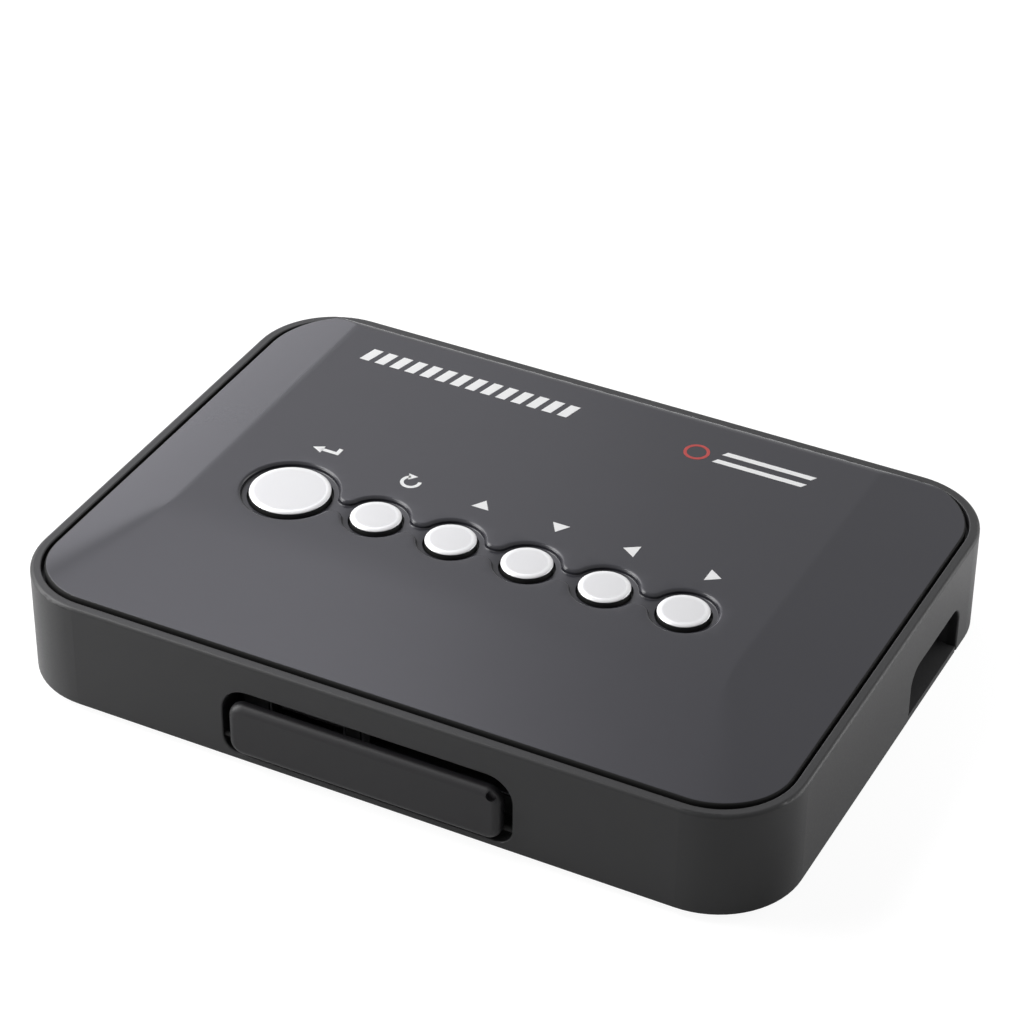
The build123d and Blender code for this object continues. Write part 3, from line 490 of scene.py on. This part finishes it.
def key_parts(x, radius):
    """Key cap: slightly domed silver face, rounded rim in a painted highlight, black side, flange and stem, turned as
    one solid.
    """
    rim = 0.85
    rim_drop = 0.3
    face_edge = radius - rim
    dome = 0.05
    flange = radius + FLANGE_REACH
    side_top = CAP_TOP - dome - rim_drop
    below = [(0, STEM_BOTTOM), (STEM_RADIUS, STEM_BOTTOM), (STEM_RADIUS, FLANGE_BOTTOM), (flange, FLANGE_BOTTOM),
             (flange, FLANGE_TOP), (radius, FLANGE_TOP), (radius, side_top)]
    bevel = [(face_edge + rim * cos(a), side_top + rim_drop * sin(a)) for a in np.linspace(0, pi / 2, 8)]
    face = [(face_edge * share, CAP_TOP - dome * share * share) for share in np.linspace(1, 0, 7)]
    return [(*lathe(below, x, KEY_Y), 2), (*lathe(bevel, x, KEY_Y), 1), (*lathe(face, x, KEY_Y), 0)]


for name, x, radius in KEYS:
    cap = add_piece(f"{name}_cap", key_parts(x, radius), [cap_silver, cap_rim_highlight, cap_side], name)
    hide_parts(f"{name}_key")


# Prints

def print_parts(shapes, height):
    """Thin flat ink: each outline, drawn in mm in plan, becomes a closed slab that stands just proud of the panel."""
    ink_rise, ink_sink = 0.02, 0.06
    parts = []
    for shape in shapes:
        shape = np.asarray(shape, float)
        count = len(shape)
        points = np.vstack([np.column_stack([shape, np.full(count, height - ink_sink)]),
                            np.column_stack([shape, np.full(count, height + ink_rise)])])
        sides = [[i, (i + 1) % count, count + (i + 1) % count, count + i] for i in range(count)]
        triangles = tessellate_polygon([[Vector((p[0], p[1], 0)) for p in shape]])
        low = [list(t) for t in triangles]
        high = [[i + count for i in t] for t in triangles]
        parts.append((points, sides + low + high, 0))
    return parts


def arc_band(x, y, radius, width, start, end, count=24):
    """Outline of a band that follows an arc."""
    angles = np.radians(np.linspace(start, end, count))
    outer = [(x + (radius + width / 2) * cos(a), y + (radius + width / 2) * sin(a)) for a in angles]
    inner = [(x + (radius - width / 2) * cos(a), y + (radius - width / 2) * sin(a)) for a in angles[::-1]]
    return outer + inner


def triangle(x, y, length, half_width, turn):
    """Outline of a triangle that points along an angle, with its middle at (x, y)."""
    a = radians(turn)
    corners = [(length * 2 / 3, 0), (-length / 3, half_width), (-length / 3, -half_width)]
    return [(x + u * cos(a) - v * sin(a), y + u * sin(a) + v * cos(a)) for u, v in corners]


def slanted_bar(x, y, width, height, slant=0.24):
    """Outline of an upright bar that leans to the right."""
    lean = slant * height
    return [(x, y), (x + width, y), (x + width + lean, y + height), (x + lean, y + height)]


def round_arrow_head(x, y, radius, angle, size):
    """Arrow head on an arc, pointing clockwise."""
    a = radians(angle)
    return triangle(x + radius * cos(a), y + radius * sin(a), 1.5 * size, 0.87 * size, angle - 90)


# Outlines in mm in plan, over the keys that they belong to
return_arrow = [
    [(-39.15, 6.3), (-37.35, 5.35), (-37.35, 7.25)],
    [(-37.5, 5.95), (-34.35, 5.95), (-34.35, 7.75), (-35.05, 7.75), (-35.05, 6.65), (-37.5, 6.65)],
]
round_arrow = [
    arc_band(-20.3, 4.8, 1.45, 0.6, -240, 20, 40),
    round_arrow_head(-20.3, 4.8, 1.45, 112, 1.0),
]
arrows = [
    triangle(-7.15, 4.2, 2.3, 1.5, 90),
    triangle(6.3, 4.7, 2.3, 1.5, 270),
    triangle(19.2, 4.3, 2.4, 1.55, 180),
    triangle(33.0, 3.9, 2.3, 1.55, 0),
]
symbols = add_piece("key_symbols", print_parts(return_arrow + round_arrow + arrows, PLATEAU), [white_ink], "case")

title_bars = [slanted_bar(-45.6 + 2.86 * i, 33.2, 1.75, 3.7) for i in range(14)]
stripes = [slanted_bar(20.6, 35.1, 15.6, 1.05, 0.6), slanted_bar(19.9, 32.6, 15.6, 1.05, 0.6)]
bars = add_piece("plain_bars", print_parts(title_bars + stripes, PLATEAU), [white_ink], "case")
ring_print = [arc_band(16.6, 34.0, 1.9, 0.55, 0, 180), arc_band(16.6, 34.0, 1.9, 0.55, 180, 360)]
ring = add_piece("plain_ring", print_parts(ring_print, PLATEAU), [red_ink], "case")


# Floor and surroundings

def ray_switch(tree, kinds, seen, other):
    """Shows one shader to some kinds of ray and another shader to the rest."""
    nodes, links = tree.nodes, tree.links
    path = nodes.new("ShaderNodeLightPath")
    factor = path.outputs[kinds[0]]
    for kind in kinds[1:]:
        either = nodes.new("ShaderNodeMath")
        either.operation = "MAXIMUM"
        links.new(factor, either.inputs[0])
        links.new(path.outputs[kind], either.inputs[1])
        factor = either.outputs[0]
    mix = nodes.new("ShaderNodeMixShader")
    links.new(factor, mix.inputs["Fac"])
    links.new(other, mix.inputs[1])
    links.new(seen, mix.inputs[2])
    return mix.outputs[0]


def white_ground(tree, glow, matt):
    """White ground made of a glow and a matt part, so that it is white where it is lit and keeps the shadow."""
    light = tree.nodes.new("ShaderNodeEmission")
    light.inputs["Strength"].default_value = glow
    dull = tree.nodes.new("ShaderNodeBsdfDiffuse")
    dull.inputs["Color"].default_value = (matt, matt, matt, 1)
    both = tree.nodes.new("ShaderNodeAddShader")
    tree.links.new(light.outputs[0], both.inputs[0])
    tree.links.new(dull.outputs[0], both.inputs[1])
    return both.outputs[0]


def floor_finish():
    """White floor: mostly glow to the eye, mostly matt white to mirror rays, and a mid grey for bounced light."""
    made = bpy.data.materials.new("studio_floor")
    made.use_nodes = True
    tree = made.node_tree
    tree.nodes.clear()
    bounce = tree.nodes.new("ShaderNodeBsdfDiffuse")
    bounce.inputs["Color"].default_value = (FLOOR_BOUNCE, FLOOR_BOUNCE, FLOOR_BOUNCE, 1)
    mirrored = ray_switch(tree, ["Is Glossy Ray", "Is Transmission Ray"],
                          white_ground(tree, MIRROR_GLOW, MIRROR_MATT), bounce.outputs[0])
    looked_at = ray_switch(tree, ["Is Camera Ray"], white_ground(tree, FLOOR_GLOW, FLOOR_MATT), mirrored)
    out = tree.nodes.new("ShaderNodeOutputMaterial")
    tree.links.new(looked_at, out.inputs["Surface"])
    return made


FLOOR_GLOW = 0.92
FLOOR_MATT = 0.21
MIRROR_GLOW = 0.25
MIRROR_MATT = 0.78
FLOOR_BOUNCE = 0.3
SKY_SEEN = 1.0
SKY_LIGHT = 0.05

floor_size = 3.0  # metres, half a side
floor_mesh = bpy.data.meshes.new("floor")
floor_mesh.from_pydata([(-floor_size, -floor_size, 0), (floor_size, -floor_size, 0), (floor_size, floor_size, 0),
                        (-floor_size, floor_size, 0)], [], [(0, 1, 2, 3)])
floor_mesh.materials.append(floor_finish())
floor = bpy.data.objects.new("floor", floor_mesh)
bpy.context.scene.collection.objects.link(floor)

world = bpy.data.worlds.new("studio")
bpy.context.scene.world = world
world.use_nodes = True
world.node_tree.nodes.clear()
seen_sky = world.node_tree.nodes.new("ShaderNodeBackground")
seen_sky.inputs["Strength"].default_value = SKY_SEEN
light_sky = world.node_tree.nodes.new("ShaderNodeBackground")
light_sky.inputs["Strength"].default_value = SKY_LIGHT
sky_out = world.node_tree.nodes.new("ShaderNodeOutputWorld")
sky = ray_switch(world.node_tree, ["Is Camera Ray", "Is Glossy Ray", "Is Transmission Ray"], seen_sky.outputs[0],
                 light_sky.outputs[0])
world.node_tree.links.new(sky, sky_out.inputs["Surface"])


# Lamps: name, azimuth from the back towards the left, elevation, distance and size in m, watts, colour, faces down
WHITE = (1.0, 1.0, 1.0)
COOL = (0.92, 0.91, 1.0)
LAMPS = [
    ("left_upper", 74, 42, 1.2, 0.6, 4.6, WHITE, False),
    ("left_side", 100, 48, 1.2, 0.6, 8.0, WHITE, False),
    ("slope_gleam", 42, 48, 1.2, 0.35, 0.75, COOL, False),
    ("plateau_gleam", 34, 33, 1.2, 0.35, 0.18, COOL, False),
    ("left_gleam", 42, 16, 1.2, 0.25, 0.5, COOL, False),
    ("left_soft", 52, 20, 1.2, 0.35, 0.44, COOL, False),
    ("low_left", 116, 16, 0.45, 0.28, 1.5, WHITE, False),
    ("floor_right", -72, 14, 0.17, 0.07, 0.1, WHITE, True),
    ("back_right", -48, 6, 0.7, 0.6, 2.6, WHITE, False),
]


def add_lamp(name, azimuth, elevation, distance, size, watts, colour, faces_down):
    """Square soft lamp in a direction given in degrees, facing the object or the floor under it."""
    light = bpy.data.lights.new(name, "AREA")
    light.size = size
    light.energy = watts
    light.color = colour
    lamp = bpy.data.objects.new(name, light)
    level = cos(radians(elevation))
    place = Vector((-sin(radians(azimuth)) * level, cos(radians(azimuth)) * level, sin(radians(elevation)))) * distance
    turn = Matrix.Identity(4) if faces_down else place.to_track_quat("Z", "Y").to_matrix().to_4x4()
    lamp.matrix_world = Matrix.Translation(place) @ turn
    bpy.context.scene.collection.objects.link(lamp)
    return lamp


for row in LAMPS:
    add_lamp(*row)


# Camera at the photograph's viewpoint

def add_camera(azimuth=26.80, elevation=34.91, roll=0.59, distance=541.8, right_shift=0.15, up_shift=20.0, lens=119.39):
    """Camera on a sphere round the case's middle, slid in its own picture plane to frame the object."""
    az, el, tilt = radians(azimuth), radians(elevation), radians(roll)
    back = np.array([sin(az) * cos(el), -cos(az) * cos(el), sin(el)])
    level = np.array([cos(az), sin(az), 0])
    upright = np.cross(back, level)
    right = cos(tilt) * level + sin(tilt) * upright
    up = -sin(tilt) * level + cos(tilt) * upright
    place = (back * distance + right * right_shift + up * up_shift + (0, 0, 1.2)) * MM
    data = bpy.data.cameras.new("camera")
    data.sensor_width = 36
    data.lens = lens
    data.clip_start = 0.01
    camera = bpy.data.objects.new("camera", data)
    pose = Matrix.Identity(4)
    for column, axis in enumerate((right, up, back, place)):
        for line in range(3):
            pose[line][column] = axis[line]
    camera.matrix_world = pose
    bpy.context.scene.collection.objects.link(camera)
    bpy.context.scene.camera = camera


add_camera()
bpy.context.scene.view_settings.view_transform = "Standard"

bpy.context.view_layer.update()
